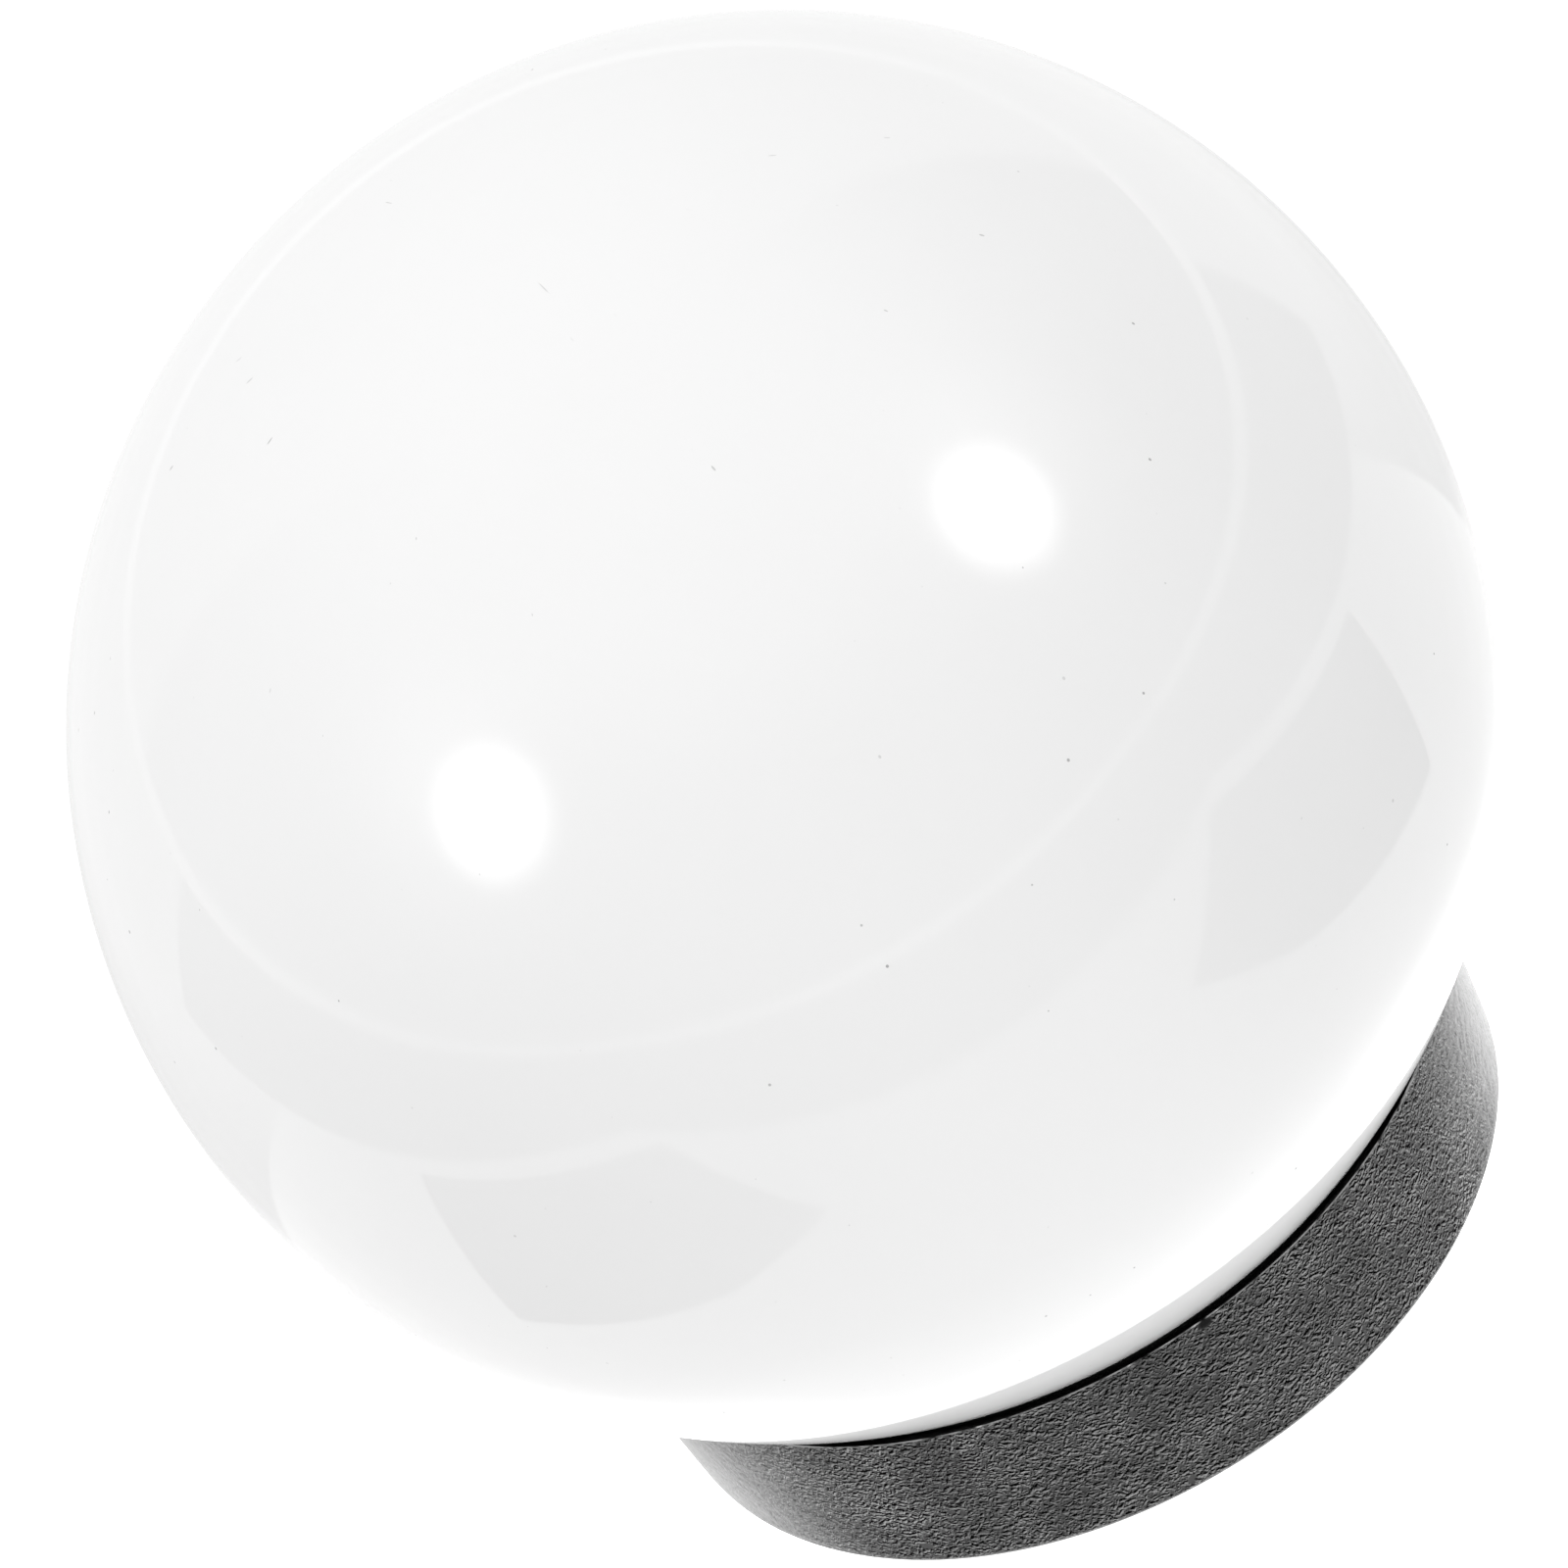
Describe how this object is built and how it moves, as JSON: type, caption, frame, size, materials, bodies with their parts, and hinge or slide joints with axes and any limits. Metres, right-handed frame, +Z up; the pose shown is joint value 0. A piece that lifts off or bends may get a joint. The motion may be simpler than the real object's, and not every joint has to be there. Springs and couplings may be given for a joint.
{
  "type": "cue ball on ring stand",
  "caption": "Glossy white solid cue ball resting in the conical seat of a short, black, leather-grained ring stand.",
  "frame": {"origin": "centre of the ring stand's underside, on the surface it rests on", "axes": "+Z up through the ring's axis and the ball's centre; the object is round about Z, so X and Y are free"},
  "size_m": [0.0572, 0.0572, 0.0581],
  "materials": {
    "white_resin": "cast phenolic resin, opaque neutral white, polished to a mirror gloss",
    "black_plastic": "moulded black plastic, fine leather grain outside, plain inside and underneath"
  },
  "bodies": {
    "ring": {"ring_stand": "black_plastic"},
    "ball": {"cue_ball": "white_resin"}
  },
  "joints": [
    {"name": "ball_lift", "type": "slide", "parent": "ring", "child": "ball", "axis": [0, 0, 1], "range_m": [0, 0.06]}
  ]
}
